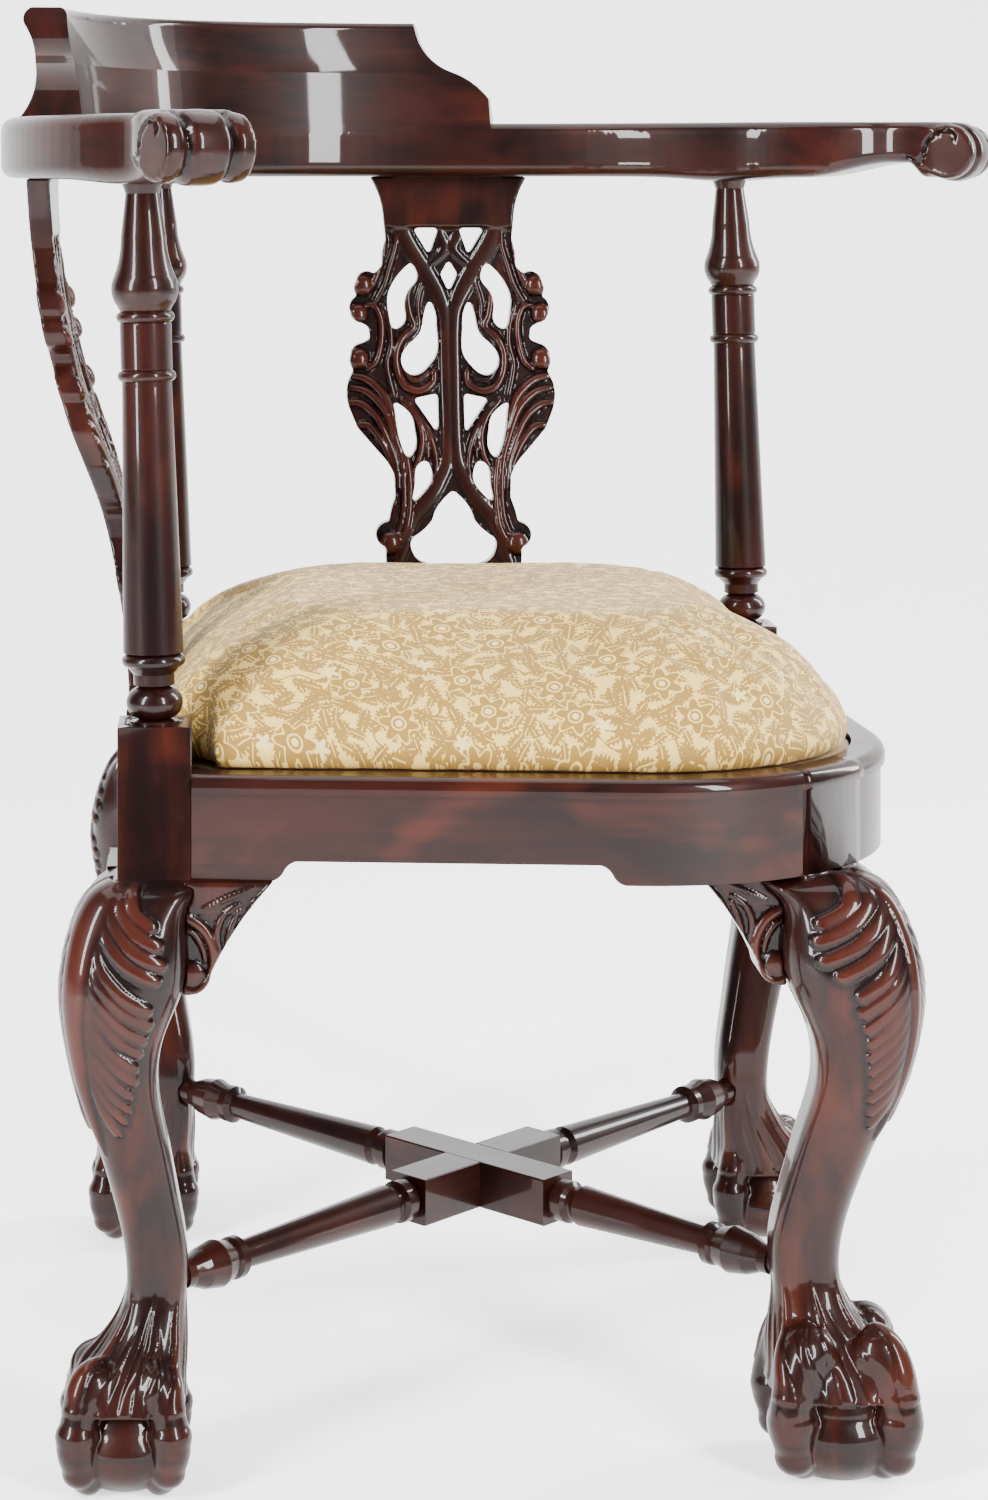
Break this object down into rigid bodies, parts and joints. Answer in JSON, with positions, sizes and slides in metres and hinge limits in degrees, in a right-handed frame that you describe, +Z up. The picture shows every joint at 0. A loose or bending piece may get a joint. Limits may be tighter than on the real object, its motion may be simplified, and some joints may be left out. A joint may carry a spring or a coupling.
{
  "type": "corner chair",
  "caption": "Square-seated corner chair on carved cabriole legs, with turned columns, pierced splats and a low curved back running into scrolled arms; upholstered seat lifts out.",
  "frame": {"origin": "on the floor under the middle of the chair's outline", "axes": "+Z up; -Y towards the rounded front corner of the seat; +X towards the sitter's left, the other side corner"},
  "size_m": [0.7756, 0.6656, 0.827],
  "materials": {
    "mahogany": "gloss",
    "plain_wood": "matte",
    "damask": "satin",
    "jute": "matte",
    "lining": "matte",
    "steel": "satin"
  },
  "bodies": {
    "frame": {"left_leg": "mahogany", "right_leg": "mahogany", "back_leg": "mahogany", "front_leg": "mahogany", "left_knee_block_back": "mahogany", "left_knee_block_front": "mahogany", "right_knee_block_back": "mahogany", "right_knee_block_front": "mahogany", "back_knee_block_left": "mahogany", "back_knee_block_right": "mahogany", "front_knee_block_left": "mahogany", "front_knee_block_right": "mahogany", "back_left_rail": "mahogany", "back_right_rail": "mahogany", "front_left_rail": "mahogany", "front_right_rail": "mahogany", "left_column": "mahogany", "right_column": "mahogany", "back_column": "mahogany", "left_splat": "mahogany", "right_splat": "mahogany", "left_splat_shoe": "mahogany", "right_splat_shoe": "mahogany", "left_arm": "mahogany", "right_arm": "mahogany", "crest_rail": "mahogany", "side_stretcher": "mahogany", "front_back_stretcher": "mahogany", "left_corner_block": "plain_wood", "right_corner_block": "plain_wood", "back_corner_block": "plain_wood", "front_corner_block": "plain_wood", "corner_block_screws": "steel", "crest_screws": "steel"},
    "slip_seat": {"seat_board_back_left": "plain_wood", "seat_board_back_right": "plain_wood", "seat_board_front_left": "plain_wood", "seat_board_front_right": "plain_wood", "webbing": "jute", "seat_cushion": "damask", "dust_cover": "lining"}
  },
  "joints": [
    {"name": "seat_lift", "type": "slide", "parent": "frame", "child": "slip_seat", "axis": [0, 0, 1], "range_m": [0, 0.1]}
  ]
}
